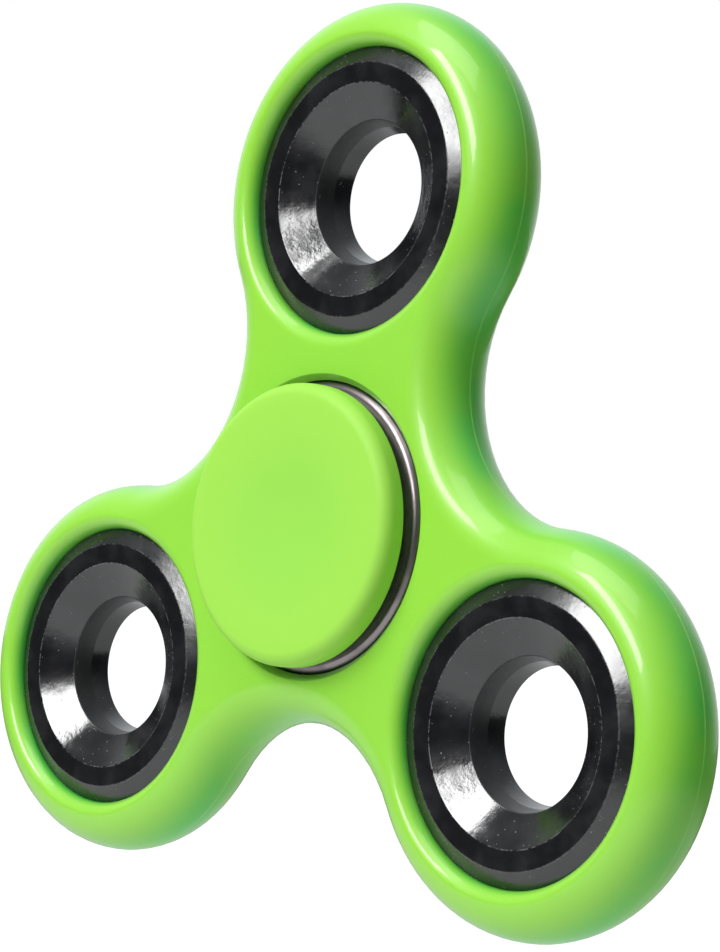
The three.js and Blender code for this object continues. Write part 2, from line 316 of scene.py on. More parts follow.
def between(tree, mask, low, high):
    """A number that runs from low to high with a mask."""
    node = add_node(tree, "MapRange", {"Value": mask, "To Min": low, "To Max": high})
    return node.outputs["Result"]


# The Mix node has sockets of every data type, and several share a name. These are its colour ones.
MIX_FACTOR, MIX_FIRST, MIX_SECOND = 0, 6, 7
MIX_RESULT = 2


def mix_colour(tree, mask, first, second):
    node = tree.nodes.new("ShaderNodeMix")
    node.data_type = "RGBA"
    link_or_set(tree, node.inputs[MIX_FACTOR], mask)
    link_or_set(tree, node.inputs[MIX_FIRST], first)
    link_or_set(tree, node.inputs[MIX_SECOND], second)
    return node.outputs[MIX_RESULT]


def noise(tree, vector, scale, detail=2.0, roughness=0.5):
    node = add_node(
        tree,
        "TexNoise",
        {"Vector": vector, "Scale": scale, "Detail": detail, "Roughness": roughness},
    )
    return node.outputs["Fac"]


def distance_from_axis(tree, vector):
    """Distance from the Y axis, and height along it."""
    parts = add_node(tree, "SeparateXYZ", {"Vector": vector})
    across = calculate(tree, "MULTIPLY", parts.outputs["X"], parts.outputs["X"])
    both = calculate(
        tree, "MULTIPLY_ADD", parts.outputs["Z"], parts.outputs["Z"], across
    )
    return calculate(tree, "SQRT", both), parts.outputs["Y"]


def object_position(tree, centre=(0, 0, 0)):
    """Position on the piece, measured from a centre."""
    coordinates = add_node(tree, "TexCoord", {}).outputs["Object"]
    mapping = add_node(
        tree,
        "Mapping",
        {"Vector": coordinates, "Location": tuple(-value for value in centre)},
    )
    return mapping.outputs["Vector"]


def start_group(name, inputs, outputs):
    """A node group with a vector input, number inputs and number outputs."""
    group = bpy.data.node_groups.new(name, "ShaderNodeTree")
    group.interface.new_socket("Vector", in_out="INPUT", socket_type="NodeSocketVector")
    for socket_name, value in inputs.items():
        socket = group.interface.new_socket(
            socket_name, in_out="INPUT", socket_type="NodeSocketFloat"
        )
        socket.default_value = value
    for socket_name in outputs:
        group.interface.new_socket(
            socket_name, in_out="OUTPUT", socket_type="NodeSocketFloat"
        )
    return group, group.nodes.new("NodeGroupInput"), group.nodes.new("NodeGroupOutput")


def use_group(tree, group, inputs):
    node = tree.nodes.new("ShaderNodeGroup")
    node.node_tree = group
    for name, value in inputs.items():
        link_or_set(tree, node.inputs[name], value)
    return node.outputs


# ---- Shared surface effects ----


def make_moulded_grain():
    """The skin of moulded or coated surfaces: a soft orange peel, a fine grain on it, and wide blotches."""
    group, given, result = start_group(
        "moulded grain",
        {"Peel Scale": 900.0, "Grain Scale": 4500.0, "Blotch Scale": 90.0},
        ("Peel", "Grain", "Blotch"),
    )
    vector = given.outputs["Vector"]
    peel = noise(group, vector, given.outputs["Peel Scale"], 1.5)
    grain = noise(group, vector, given.outputs["Grain Scale"], 2.0, 0.6)
    blotch = noise(group, vector, given.outputs["Blotch Scale"], 3.0, 0.55)
    group.links.new(peel, result.inputs["Peel"])
    group.links.new(grain, result.inputs["Grain"])
    group.links.new(fade(group, blotch, 0.38, 0.66), result.inputs["Blotch"])
    return group


def make_edge_wear():
    """A thin worn line round the axis, along the edge at a given radius, broken up here and there."""
    group, given, result = start_group(
        "edge wear", {"Radius": 0.01, "Width": 0.0001, "Cover": 0.5}, ("Wear",)
    )
    vector = given.outputs["Vector"]
    radius, _ = distance_from_axis(group, vector)
    off_edge = calculate(
        group, "ABSOLUTE", calculate(group, "SUBTRACT", radius, given.outputs["Radius"])
    )
    line = calculate(group, "DIVIDE", off_edge, given.outputs["Width"])
    near = fade(group, line, 1.0, 0.2)
    ragged = noise(group, vector, 2600.0, 3.0, 0.6)
    patchy = noise(group, vector, 260.0, 2.0)
    amount = calculate(group, "MULTIPLY", ragged, calculate(group, "ADD", patchy, 0.5))
    threshold = calculate(group, "SUBTRACT", 1.0, given.outputs["Cover"])
    broken = fade(group, calculate(group, "SUBTRACT", amount, threshold), -0.08, 0.1)
    group.links.new(calculate(group, "MULTIPLY", near, broken), result.inputs["Wear"])
    return group


def make_dust():
    """Small pale specks scattered in loose clusters."""
    group, given, result = start_group(
        "dust", {"Scale": 900.0, "Size": 0.12, "Amount": 0.5}, ("Specks",)
    )
    vector = given.outputs["Vector"]
    cells = add_node(
        group, "TexVoronoi", {"Vector": vector, "Scale": given.outputs["Scale"]}
    )
    parts = add_node(group, "SeparateXYZ", {"Vector": cells.outputs["Color"]})
    size = calculate(
        group, "MULTIPLY", given.outputs["Size"], calculate(group, "ADD", parts.outputs["X"], 0.3)
    )
    share = calculate(group, "DIVIDE", cells.outputs["Distance"], size)
    speck = fade(group, share, 1.0, 0.5)
    cluster = noise(group, vector, 300.0, 2.0)
    chance = calculate(group, "MULTIPLY", cluster, given.outputs["Amount"])
    here = calculate(group, "LESS_THAN", parts.outputs["Y"], chance)
    group.links.new(calculate(group, "MULTIPLY", speck, here), result.inputs["Specks"])
    return group


def make_turning_marks():
    """Fine rings round the axis, as a lathe or grinder leaves them."""
    group, given, result = start_group("turning marks", {"Scale": 9000.0}, ("Rings", "Smudge"))
    vector = given.outputs["Vector"]
    radius, height = distance_from_axis(group, vector)
    along = calculate(group, "ADD", radius, height)
    rings = add_node(
        group,
        "TexNoise",
        {
            "W": calculate(group, "MULTIPLY", along, given.outputs["Scale"]),
            "Scale": 1.0,
            "Detail": 3.0,
        },
        noise_dimensions="1D",
    )
    group.links.new(rings.outputs["Fac"], result.inputs["Rings"])
    smudge = noise(group, vector, 420.0, 3.0)
    group.links.new(fade(group, smudge, 0.4, 0.65), result.inputs["Smudge"])
    return group


MOULDED_GRAIN = make_moulded_grain()
EDGE_WEAR = make_edge_wear()
DUST = make_dust()
TURNING_MARKS = make_turning_marks()

# ---- Materials ----


def start_material(name, **constants):
    """A material with a Principled shader, whose constant inputs are set on its own sockets."""
    material = bpy.data.materials.new(name)
    material.use_nodes = True
    tree = material.node_tree
    tree.nodes.clear()
    surface = add_node(tree, "BsdfPrincipled", {})
    for socket_name, value in constants.items():
        surface.inputs[socket_name.replace("_", " ")].default_value = value
    output = add_node(tree, "OutputMaterial", {})
    tree.links.new(surface.outputs["BSDF"], output.inputs["Surface"])
    return material, tree, surface


def add_bumps(tree, surface, *layers):
    """Bump layers on top of each other, each (height, strength, depth in metres)."""
    normal = None
    for height, strength, depth in layers:
        inputs = {"Height": height, "Strength": strength, "Distance": depth}
        if normal is not None:
            inputs["Normal"] = normal
        normal = add_node(tree, "Bump", inputs).outputs["Normal"]
    tree.links.new(normal, surface.inputs["Normal"])


LIME_FACE = (0.33, 0.79, 0.065, 1)
# painted shade: the darker, greener colour given to the frame's sideways-facing walls
LIME_WALL_PAINTED_SHADE = (0.085, 0.64, 0.07, 1)
LIME_YELLOWED = (0.34, 0.70, 0.03, 1)
LIME_PARTING = (0.30, 0.78, 0.13, 1)
LIME_CAP = (0.375, 0.80, 0.085, 1)
# painted shade: the darker, greener colour of the cap's dished middle
LIME_CAP_DISH_SHADE = (0.335, 0.78, 0.085, 1)


def make_lime_plastic():
    """Glossy moulded plastic with painted shade on the walls, which are darker and greener where the
    surface faces sideways, a little yellowed in patches, and paler along the parting line."""
    material, tree, surface = start_material(
        "lime plastic", Specular_IOR_Level=0.5, IOR=1.5, Coat_Roughness=0.06
    )
    position = object_position(tree)
    skin = use_group(
        tree,
        MOULDED_GRAIN,
        {"Vector": position, "Peel Scale": 520.0, "Grain Scale": 5200.0, "Blotch Scale": 95.0},
    )
    normal = add_node(tree, "TexCoord", {}).outputs["Normal"]
    facing = calculate(
        tree, "ABSOLUTE", add_node(tree, "SeparateXYZ", {"Vector": normal}).outputs["Y"]
    )
    # painted shade: surfaces that face sideways take the darker, greener wall colour
    wall = fade(tree, facing, 0.85, 0.0)
    colour = mix_colour(tree, wall, LIME_FACE, LIME_WALL_PAINTED_SHADE)
    yellowed = calculate(tree, "MULTIPLY", skin["Blotch"], between(tree, wall, 0.15, 0.45))
    colour = mix_colour(tree, yellowed, colour, LIME_YELLOWED)
    _, height = distance_from_axis(tree, position)
    off_middle = calculate(tree, "ABSOLUTE", height)
    parting = calculate(
        tree,
        "MULTIPLY",
        fade(tree, off_middle, PARTING_WIDTH, PARTING_WIDTH / 3),
        between(tree, skin["Peel"], 0.1, 0.7),
    )
    colour = mix_colour(tree, parting, colour, LIME_PARTING)
    speckled = between(tree, skin["Grain"], 0.97, 1.03)
    tinted = add_node(
        tree, "HueSaturation", {"Color": colour, "Value": speckled}
    ).outputs["Color"]
    tree.links.new(tinted, surface.inputs["Base Color"])
    tree.links.new(between(tree, skin["Grain"], 0.3, 0.42), surface.inputs["Roughness"])
    tree.links.new(between(tree, skin["Blotch"], 0.55, 0.35), surface.inputs["Coat Weight"])
    add_bumps(
        tree,
        surface,
        (skin["Peel"], 0.2, 0.02 * MM),
        (skin["Grain"], 0.15, 0.006 * MM),
    )
    return material


def make_cap_plastic():
    """The caps' softer, smoother plastic: darker and greener in the middle as painted shade of the dish,
    with faint rings from its mould.
    """
    material, tree, surface = start_material(
        "lime cap plastic", Specular_IOR_Level=0.4, IOR=1.5
    )
    position = object_position(tree)
    skin = use_group(
        tree,
        MOULDED_GRAIN,
        {"Vector": position, "Peel Scale": 300.0, "Grain Scale": 6000.0, "Blotch Scale": 55.0},
    )
    rings = use_group(tree, TURNING_MARKS, {"Vector": position, "Scale": 1600.0})
    radius, _ = distance_from_axis(tree, position)
    # painted shade: the dish's middle gets the darker colour, broken up by the blotches
    middle = fade(tree, radius, 0.85 * CAP_RADIUS, 0.3 * CAP_RADIUS)
    middle = calculate(tree, "MULTIPLY", middle, between(tree, skin["Blotch"], 0.6, 1.0))
    colour = mix_colour(tree, middle, LIME_CAP, LIME_CAP_DISH_SHADE)
    tree.links.new(colour, surface.inputs["Base Color"])
    tree.links.new(between(tree, skin["Grain"], 0.5, 0.62), surface.inputs["Roughness"])
    add_bumps(
        tree,
        surface,
        (rings["Rings"], 0.1, 0.006 * MM),
        (skin["Grain"], 0.2, 0.005 * MM),
    )
    return material


COATING_DARK = (0.0075, 0.0075, 0.0085, 1)
COATING_GREY = (0.017, 0.017, 0.019, 1)
WORN_METAL = (0.30, 0.30, 0.31, 1)
DUST_GREY = (0.42, 0.42, 0.41, 1)


def make_black_coating(name, centre):
    """Black coated steel: orange peel, worn edges, dust, and a duller front half of the bore."""
    material, tree, surface = start_material(name, Specular_IOR_Level=1.0, IOR=1.5)
    position = object_position(tree, centre)
    skin = use_group(
        tree,
        MOULDED_GRAIN,
        {"Vector": position, "Peel Scale": 1500.0, "Grain Scale": 5200.0, "Blotch Scale": 330.0},
    )
    radius, height = distance_from_axis(tree, position)
    in_bore = fade(tree, radius, WEIGHT_FRONT_THROAT + 0.1 * MM, WEIGHT_FRONT_THROAT)
    front_half = fade(tree, height, 0.05 * MM, -0.05 * MM)
    dull_bore = calculate(tree, "MULTIPLY", in_bore, front_half)

    cone_edge = use_group(
        tree,
        EDGE_WEAR,
        {"Vector": position, "Radius": WEIGHT_CONE_RADIUS, "Width": 0.07 * MM, "Cover": 0.5},
    )["Wear"]
    bevel_edge = use_group(
        tree,
        EDGE_WEAR,
        {"Vector": position, "Radius": WEIGHT_BEVEL_RADIUS, "Width": 0.12 * MM, "Cover": 0.5},
    )["Wear"]
    worn = calculate(tree, "MAXIMUM", cone_edge, calculate(tree, "MULTIPLY", bevel_edge, 0.4))
    specks = use_group(
        tree, DUST, {"Vector": position, "Scale": 3000.0, "Size": 0.2, "Amount": 0.6}
    )["Specks"]

    colour = mix_colour(tree, skin["Blotch"], COATING_DARK, COATING_GREY)
    colour = mix_colour(tree, calculate(tree, "MULTIPLY", worn, 0.3), colour, WORN_METAL)
    colour = mix_colour(tree, calculate(tree, "MULTIPLY", specks, 0.3), colour, DUST_GREY)
    tree.links.new(colour, surface.inputs["Base Color"])
    bevel = fade(tree, radius, WEIGHT_BEVEL_RADIUS - 0.1 * MM, WEIGHT_BEVEL_RADIUS)
    rough = between(tree, skin["Blotch"], 0.12, 0.2)
    rough = calculate(tree, "MULTIPLY_ADD", bevel, 0.08, rough)
    rough = calculate(tree, "MULTIPLY_ADD", dull_bore, 0.3, rough)
    rough = calculate(tree, "MULTIPLY_ADD", worn, 0.25, rough)
    rough = calculate(tree, "MULTIPLY_ADD", specks, 0.4, rough, clamp=True)
    tree.links.new(rough, surface.inputs["Roughness"])
    add_bumps(
        tree,
        surface,
        (skin["Peel"], 0.45, 0.025 * MM),
        (skin["Grain"], 0.4, 0.01 * MM),
    )
    return material


def make_steel(name, tint, smooth_roughness, marks_scale, marks_strength, ground_within=0.0):
    """Bare steel with turning marks and the odd smudge, ground duller within a radius."""
    material, tree, surface = start_material(name, Metallic=1.0)
    position = object_position(tree)
    marks = use_group(tree, TURNING_MARKS, {"Vector": position, "Scale": marks_scale})
    darker = tuple(0.72 * value for value in tint) + (1,)
    colour = mix_colour(tree, marks["Smudge"], tint + (1,), darker)
    tree.links.new(colour, surface.inputs["Base Color"])
    rough = between(tree, marks["Rings"], smooth_roughness, smooth_roughness + 0.12)
    rough = calculate(tree, "MULTIPLY_ADD", marks["Smudge"], 0.08, rough)
    radius, _ = distance_from_axis(tree, position)
    ground = fade(tree, radius, ground_within + 0.1 * MM, ground_within)
    rough = calculate(tree, "MULTIPLY_ADD", ground, 0.3, rough)
    tree.links.new(rough, surface.inputs["Roughness"])
    add_bumps(tree, surface, (marks["Rings"], marks_strength, 0.01 * MM))
    return material


LIME_PLASTIC = make_lime_plastic()
CAP_PLASTIC = make_cap_plastic()
BEARING_STEEL = make_steel(
    "ground bearing steel",
    (0.32, 0.27, 0.29),
    0.24,
    9000.0,
    0.2,
    ground_within=BEARING_RADIUS - BEARING_CORNER,
)
BALL_STEEL = make_steel("polished ball steel", (0.66, 0.66, 0.67), 0.05, 2500.0, 0.02)
CAGE_STEEL = make_steel("pressed cage steel", (0.50, 0.50, 0.49), 0.25, 4000.0, 0.15)
SHIELD_STEEL = make_steel("rolled shield steel", (0.56, 0.56, 0.57), 0.22, 5000.0, 0.25)
SPRING_STEEL = make_steel("drawn spring steel", (0.33, 0.32, 0.32), 0.28, 3000.0, 0.15)

# ---- Lime frame ----


def spin_wall(centre, sweep, steps):
    """Draws the selected end of the wall on round a centre."""
    bpy.ops.mesh.spin(
        steps=steps, angle=sweep, center=(centre.x, 0, centre.z), axis=(0, 1, 0)
    )


def frame_blank():
    """The frame before its holes: a rounded wall swept round the three lobes and the waists between
    them, and closed with two flat faces."""
    waist_arc = (
        WAIST_RADIUS**2 + ARM_LENGTH**2 - WAIST_RADIUS * ARM_LENGTH - LOBE_RADIUS**2
    ) / (2 * LOBE_RADIUS - 2 * WAIST_RADIUS + ARM_LENGTH)
    half_pitch = HALF_TURN / len(ARMS)
    lobes = [at(ARM_LENGTH, arm_angle(i)) for i in range(len(ARMS))]
    waists = [
        at(WAIST_RADIUS + waist_arc, arm_angle(i) + half_pitch) for i in range(len(ARMS))
    ]
    towards_waist = waists[0] - lobes[0]
    half_lobe = math.atan2(towards_waist.z, towards_waist.x) % FULL_TURN - arm_angle(0)
    half_waist = half_lobe - half_pitch

    select_nothing()
    bpy.ops.mesh.primitive_circle_add(vertices=2 * WALL_STEPS, radius=1)
    wall = bpy.context.active_object
    wall.name = "lime_frame"
    select_vertices(wall, lambda co: co.x < -TINY)
    bpy.ops.mesh.delete(type="VERT")
    bpy.ops.mesh.select_all(action="SELECT")
    bpy.ops.transform.resize(
        value=(EDGE_ROUND, FRAME_HALF, 1), center_override=(0, 0, 0)
    )
    bpy.ops.transform.translate(value=(LOBE_RADIUS - EDGE_ROUND, 0, 0))
    place(wall, lobes[0], (0, half_lobe - arm_angle(0), 0))

    bpy.ops.object.mode_set(mode="EDIT")
    bpy.ops.mesh.select_all(action="SELECT")
    for lobe, waist in zip(lobes, waists):
        spin_wall(lobe, 2 * half_lobe, LOBE_STEPS)
        spin_wall(waist, -2 * half_waist, WAIST_STEPS)
    bpy.ops.mesh.select_all(action="SELECT")
    bpy.ops.mesh.remove_doubles(threshold=TINY)

    for side in (-1, 1):
        select_vertices(wall, lambda co: side * co.y > FRAME_HALF - TINY)
        bpy.ops.mesh.edge_face_add()
    bpy.ops.mesh.select_all(action="SELECT")
    bpy.ops.mesh.normals_make_consistent(inside=False)
    bpy.ops.object.mode_set(mode="OBJECT")
    return wall


def raise_parting_line(wall):
    """The thin ridge where the two halves of the mould met."""
    select_vertices(wall, lambda co: abs(co.y) < TINY)
    bpy.ops.mesh.bevel(offset=PARTING_WIDTH, segments=4, affect="EDGES")
    select_vertices(wall, lambda co: abs(co.y) < PARTING_WIDTH / 4)
    bpy.ops.transform.shrink_fatten(value=PARTING_HEIGHT)
    bpy.ops.object.mode_set(mode="OBJECT")


def hole_cutter(rim):
    """What leaves a round hole; its rim is the cross-section from the hole's wall to the frame's face."""
    mouth_radius, mouth_height = rim[-1]
    above = [(mouth_radius, mouth_height + LOBE_LIP)]
    return turned("hole cutter", mirrored(rim + above), ring=False)


def rounded_rim(radius, lip):
    return arc(
        radius + lip, FRAME_HALF - lip, lip, HALF_TURN, HALF_TURN / 2, 2 * CORNER_STEPS
    )


def chamfered_rim(radius, chamfer):
    """A straight chamfer whose outer edge is eased a little."""
    ease = HUB_EDGE_ROUND
    return [(radius, FRAME_HALF - chamfer)] + arc(
        radius + chamfer + ease * math.tan(HALF_TURN / 8),
        FRAME_HALF - ease,
        ease,
        HALF_TURN * 3 / 4,
        HALF_TURN / 2,
        CORNER_STEPS,
    )


def make_frame():
    body = frame_blank()
    raise_parting_line(body)
    hub_rim = chamfered_rim(BEARING_RADIUS + PRESS_GAP, HUB_CHAMFER)
    combine(body, hole_cutter(hub_rim), "DIFFERENCE")
    lobe_rim = rounded_rim(WEIGHT_RADIUS + PRESS_GAP, LOBE_LIP)
    for i in range(len(ARMS)):
        cutter = hole_cutter(lobe_rim)
        place(cutter, at(ARM_LENGTH, arm_angle(i)))
        combine(body, cutter, "DIFFERENCE")
    smooth(body)
    hand_over(body, "spinner", "body_frame", LIME_PLASTIC)


# ---- Ring weights ----


def make_weights():
    """Both faces have an outer bevel, a flat and a conical mouth, and the bore between the mouths
    tapers from front to rear."""
    face = [
        (WEIGHT_CONE_RADIUS, WEIGHT_HALF),
        (WEIGHT_BEVEL_RADIUS, WEIGHT_HALF),
        (WEIGHT_RADIUS, WEIGHT_HALF - WEIGHT_BEVEL_DEPTH),
    ]
    throat = WEIGHT_HALF - WEIGHT_CONE_DEPTH
    bore = [
        (WEIGHT_FRONT_THROAT, -throat),
        (WEIGHT_BORE_RADIUS, 0),
        (WEIGHT_REAR_THROAT, throat),
    ]
    front = [(radius, -height) for radius, height in reversed(face)]
    first = turned("weight_top", bore + face + front)
    round_edges(first, WEIGHT_EDGE_ROUND, sharper_than=20)
    smooth(first)
    weights = [first] + [copy_of(first, "weight_" + arm) for arm in ARMS[1:]]
    for i, (arm, weight) in enumerate(zip(ARMS, weights)):
        centre = at(ARM_LENGTH, arm_angle(i))
        place(weight, centre)
        coating = make_black_coating("black coating " + arm, centre)
        hand_over(weight, "spinner", "counterweight_" + arm, coating)


# ---- Ball bearing ----


def groove(centre, shoulder):
    """The ball groove's cross-section, from below to above, ending at the ring's shoulder."""
    half = math.acos(abs(shoulder - centre) / RACE_RADIUS)
    outward = 1 if shoulder > centre else -1
    points = arc(0, 0, RACE_RADIUS, -half, half, RACE_STEPS)
    return [(centre + outward * radius, height) for radius, height in points]


def make_outer_race():
    centre = BALL_CIRCLE + BALL_RADIUS + RACE_GAP - RACE_RADIUS
    upper = [
        (OUTER_SHOULDER, SHIELD_SEAT),
        (SHIELD_SEAT_RADIUS, SHIELD_SEAT),
        (SHIELD_SEAT_RADIUS, CLIP_UNDER - PRESS_GAP),
        (CLIP_GROOVE_RADIUS, CLIP_UNDER - PRESS_GAP),
        (CLIP_GROOVE_RADIUS, CLIP_TOP + PRESS_GAP),
        (SHIELD_SEAT_RADIUS, CLIP_TOP + PRESS_GAP),
        (SHIELD_SEAT_RADIUS, BEARING_HALF),
    ] + arc(
        BEARING_RADIUS - BEARING_CORNER,
        BEARING_HALF - BEARING_CORNER,
        BEARING_CORNER,
        HALF_TURN / 2,
        0,
        CORNER_STEPS,
    )
    lower = [(radius, -height) for radius, height in reversed(upper)]
    ring = turned("outer_race", groove(centre, OUTER_SHOULDER) + upper + lower)
    round_edges(ring, RING_EDGE_ROUND, sharper_than=50)
    smooth(ring)
    hand_over(ring, "spinner", "bearing_outer_ring", BEARING_STEEL)


def make_inner_race():
    centre = BALL_CIRCLE - BALL_RADIUS - RACE_GAP + RACE_RADIUS
    upper = [
        (INNER_SHOULDER, BEARING_HALF - BORE_CORNER / 2),
        (INNER_SHOULDER - BORE_CORNER / 2, BEARING_HALF),
    ] + arc(
        BORE_RADIUS + BORE_CORNER,
        BEARING_HALF - BORE_CORNER,
        BORE_CORNER,
        HALF_TURN / 2,
        HALF_TURN,
        CORNER_STEPS,
    )
    lower = [(radius, -height) for radius, height in reversed(upper)]
    ring = turned("inner_race", groove(centre, INNER_SHOULDER) + upper + lower)
    round_edges(ring, RING_EDGE_ROUND, sharper_than=40)
    smooth(ring)
    hand_over(ring, "grip", "bearing_inner_ring", BEARING_STEEL)


def make_balls():
    """Each ball starts as a cube that is divided and cast round."""
    select_nothing()
    bpy.ops.mesh.primitive_cube_add(size=2 * BALL_RADIUS)
    first = bpy.context.active_object
    first.name = "ball_1"
    apply_modifier(
        first,
        "SUBSURF",
        subdivision_type="SIMPLE",
        levels=BALL_LEVELS,
        render_levels=BALL_LEVELS,
    )
    apply_modifier(
        first, "CAST", cast_type="SPHERE", factor=1, use_radius_as_size=False, size=BALL_RADIUS
    )
    make_active(first)
    bpy.ops.object.shade_smooth()
    balls = [first] + [copy_of(first, f"ball_{i + 1}") for i in range(1, BALLS)]
    for i, piece in enumerate(balls):
        place(piece, at(BALL_CIRCLE, ball_angle(i)))
        name = f"ball_{i + 1}"
        hand_over(piece, name, "bearing_" + name, BALL_STEEL)


def seven_spheres(name, radius):
    """Spheres at the balls' places, as one cutting tool."""
    select_nothing()
    spheres = []
    for i in range(BALLS):
        bpy.ops.mesh.primitive_uv_sphere_add(
            segments=POCKET_STEPS,
            ring_count=POCKET_STEPS // 2,
            radius=radius,
            location=at(BALL_CIRCLE, ball_angle(i)),
        )
        spheres.append(bpy.context.active_object)
    for sphere in spheres:
        sphere.select_set(True)
    bpy.ops.object.join()
    tool = bpy.context.active_object
    tool.name = name
    return tool


def ring_slab(name, height):
    inner = BALL_CIRCLE - CAGE_HALF_WIDTH
    outer = BALL_CIRCLE + CAGE_HALF_WIDTH
    return turned(
        name,
        [
            (inner, PRESS_GAP),
            (outer, PRESS_GAP),
            (outer, PRESS_GAP + height),
            (inner, PRESS_GAP + height),
        ],
    )


def turn_half_round(piece, name):
    """The front piece of a pair: the rear one's copy, turned half round about the top arm."""
    twin = copy_of(piece, name)
    place(twin, turn=(0, 0, HALF_TURN))
    return twin


def make_cages():
    """Two pressed rings that bulge over the balls, held together by seven rivets."""
    # Known fault: these Booleans leave open edges, and their result isn't the same on every run.
    cage = ring_slab("cage_half_rear", CAGE_SHEET)
    bulge_radius = POCKET_RADIUS + CAGE_SHEET
    combine(cage, seven_spheres("bulges", bulge_radius), "UNION")
    combine(cage, ring_slab("trim", bulge_radius), "INTERSECT")
    combine(cage, seven_spheres("pockets", POCKET_RADIUS), "DIFFERENCE")
    smooth(cage)
    front = turn_half_round(cage, "cage_half_front")
    for side, half in (("rear", cage), ("front", front)):
        hand_over(half, "ball_cage", "bearing_cage_" + side, CAGE_STEEL)

    land = CAGE_SHEET + 2 * PRESS_GAP
    upper = [
        (RIVET_RADIUS, land),
        (RIVET_HEAD_RADIUS, land),
    ] + [
        (RIVET_HEAD_RADIUS * outward, land + RIVET_HEAD_HEIGHT * upward)
        for outward, upward in RIVET_CROWN
    ]
    first = turned("rivet_1", mirrored(upper), SMALL_STEPS, ring=False)
    smooth(first)
    rivets = [first] + [copy_of(first, f"rivet_{i + 1}") for i in range(1, BALLS)]
    for i, rivet in enumerate(rivets):
        place(rivet, at(BALL_CIRCLE, ball_angle(i + 0.5)))
        hand_over(rivet, "ball_cage", f"cage_rivet_{i + 1}", CAGE_STEEL)


def make_shields():
    """A pressed disc with a step, which closes each side of the bearing."""
    under, over = SHIELD_UNDER, SHIELD_UNDER + SHIELD_SHEET
    step = SHIELD_TOP - over
    outer = SHIELD_SEAT_RADIUS - PRESS_GAP
    shield = turned(
        "dust_shield_rear",
        [
            (outer, under),
            (outer, over),
            (SHIELD_FLANGE_BORE, over),
            (SHIELD_DISC_RADIUS, over + step),
            (SHIELD_BORE_RADIUS, over + step),
            (SHIELD_BORE_RADIUS, under + step),
            (SHIELD_DISC_RADIUS, under + step),
            (SHIELD_FLANGE_BORE, under),
        ],
    )
    round_edges(shield, SHEET_EDGE_ROUND, sharper_than=25)
    smooth(shield)
    front = turn_half_round(shield, "dust_shield_front")
    for side, disc in (("rear", shield), ("front", front)):
        hand_over(disc, "spinner", "bearing_shield_" + side, SHIELD_STEEL)


def make_clips():
    """A flattened spring wire with a gap at the top, spun from its cross-section."""
    select_nothing()
    middle_radius = (CLIP_RADIUS + CLIP_BORE_RADIUS) / 2
    bpy.ops.mesh.primitive_circle_add(vertices=WIRE_STEPS, radius=1)
    clip = bpy.context.active_object
    clip.name = "clip_ring_rear"
    bpy.ops.object.mode_set(mode="EDIT")
    bpy.ops.mesh.select_all(action="SELECT")
    bpy.ops.transform.resize(
        value=((CLIP_RADIUS - CLIP_BORE_RADIUS) / 2, (CLIP_TOP - CLIP_UNDER) / 2, 1),
        center_override=(0, 0, 0),
    )
    bpy.ops.transform.translate(value=(middle_radius, (CLIP_TOP + CLIP_UNDER) / 2, 0))
    place(clip, turn=(0, -(HALF_TURN + CLIP_OPENING) / 2, 0))
    bpy.ops.object.mode_set(mode="EDIT")
    bpy.ops.mesh.select_all(action="SELECT")
    bpy.ops.mesh.spin(
        steps=ROUND_STEPS, angle=FULL_TURN - CLIP_OPENING, center=(0, 0, 0), axis=(0, 1, 0)
    )
    bpy.ops.mesh.edge_face_add()
    bpy.ops.mesh.select_all(action="DESELECT")
    bpy.ops.mesh.select_non_manifold()
    bpy.ops.mesh.edge_face_add()
    bpy.ops.mesh.select_all(action="SELECT")
    bpy.ops.mesh.normals_make_consistent(inside=False)
    smooth(clip)
    front = turn_half_round(clip, "clip_ring_front")
    for side, wire in (("rear", clip), ("front", front)):
        hand_over(wire, "spinner", "shield_clip_" + side, SPRING_STEEL)


# ---- Finger caps ----


def dish_height(radius):
    """The cap's face sinks smoothly from the crest of its rim to the middle."""
    crest = CAP_RADIUS - CAP_RIM_ROUND
    return CAP_TOP - CAP_DISH_DEPTH * (1 + math.cos(HALF_TURN * radius / crest)) / 2


def make_caps():
    """A disc with a dished face and a rounded rim, a boss that rests on the inner race, and a stub
    that presses into its bore."""
    crest = CAP_RADIUS - CAP_RIM_ROUND
    boss = BEARING_HALF + PRESS_GAP
    rim = arc(
        crest, CAP_TOP - CAP_RIM_ROUND, CAP_RIM_ROUND, 0, HALF_TURN / 2, 2 * CORNER_STEPS
    )
    dish_radii = [crest * (1 - step / DISH_STEPS) for step in range(1, DISH_STEPS)]
    cap = turned(
        "cap_rear",
        [
            (CAP_STUB_RADIUS - CAP_STUB_LEAD, CAP_STUB_END),
            (CAP_STUB_RADIUS, CAP_STUB_END + CAP_STUB_LEAD),
            (CAP_STUB_RADIUS, boss),
            (CAP_SHOULDER_RADIUS, boss),
            (CAP_SHOULDER_RADIUS, CAP_UNDERSIDE),
            (CAP_RADIUS, CAP_UNDERSIDE),
        ]
        + rim
        + [(radius, dish_height(radius)) for radius in dish_radii],
        ring=False,
    )
    round_edges(cap, CAP_EDGE_ROUND, sharper_than=35)
    smooth(cap)
    front = turn_half_round(cap, "cap_front")
    for side, piece in (("rear", cap), ("front", front)):
        hand_over(piece, "grip", "finger_cap_" + side, CAP_PLASTIC)


# ---- Studio ----

FLOOR_HEIGHT = -92 * MM
FLOOR_SIZE = 6.0
